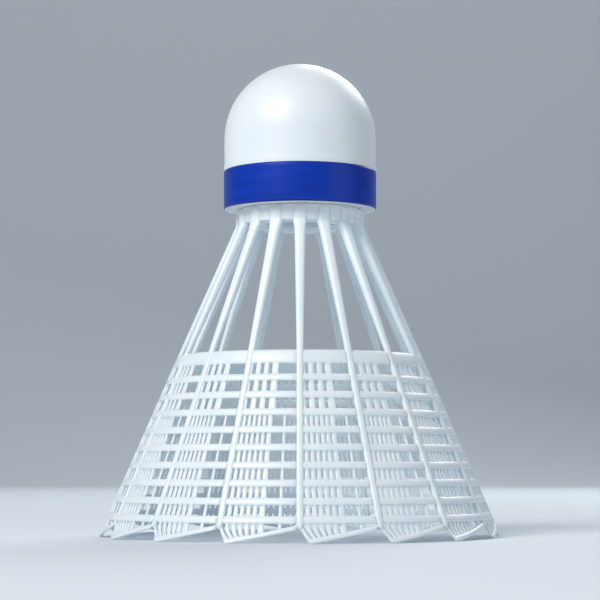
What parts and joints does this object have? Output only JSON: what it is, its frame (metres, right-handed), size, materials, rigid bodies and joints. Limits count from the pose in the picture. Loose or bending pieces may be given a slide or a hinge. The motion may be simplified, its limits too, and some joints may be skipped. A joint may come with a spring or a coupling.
{
  "type": "badminton shuttlecock",
  "caption": "Plastic badminton shuttlecock: a rounded white base with a coloured band, and a flared nylon skirt of stems and a slotted lattice with a toothed hem.",
  "frame": {"origin": "on the shuttlecock's axis, in the plane of the skirt's hem tips", "axes": "+Z along the axis towards the nose, -Y through the first stem, +Y through the ends of the band"},
  "size_m": [0.0684, 0.0684, 0.0815],
  "materials": {
    "foam_core": "closed-cell foam",
    "white_skin": "smooth satin skin",
    "blue_band": "glossy tape",
    "nylon": "moulded nylon, slightly translucent",
    "steel": "stamped disc"
  },
  "bodies": {
    "root": {"base_core": "foam_core", "base_cover": "white_skin", "speed_band": "blue_band", "balance_disc": "steel", "skirt_collar": "nylon", "stem_01": "nylon", "stem_02": "nylon", "stem_03": "nylon", "stem_04": "nylon", "stem_05": "nylon", "stem_06": "nylon", "stem_07": "nylon", "stem_08": "nylon", "stem_09": "nylon", "stem_10": "nylon", "stem_11": "nylon", "stem_12": "nylon", "stem_13": "nylon", "stem_14": "nylon", "stem_15": "nylon", "stem_16": "nylon", "vane_01": "nylon", "vane_02": "nylon", "vane_03": "nylon", "vane_04": "nylon", "vane_05": "nylon", "vane_06": "nylon", "vane_07": "nylon", "vane_08": "nylon", "vane_09": "nylon", "vane_10": "nylon", "vane_11": "nylon", "vane_12": "nylon", "vane_13": "nylon", "vane_14": "nylon", "vane_15": "nylon", "vane_16": "nylon"}
  },
  "joints": []
}
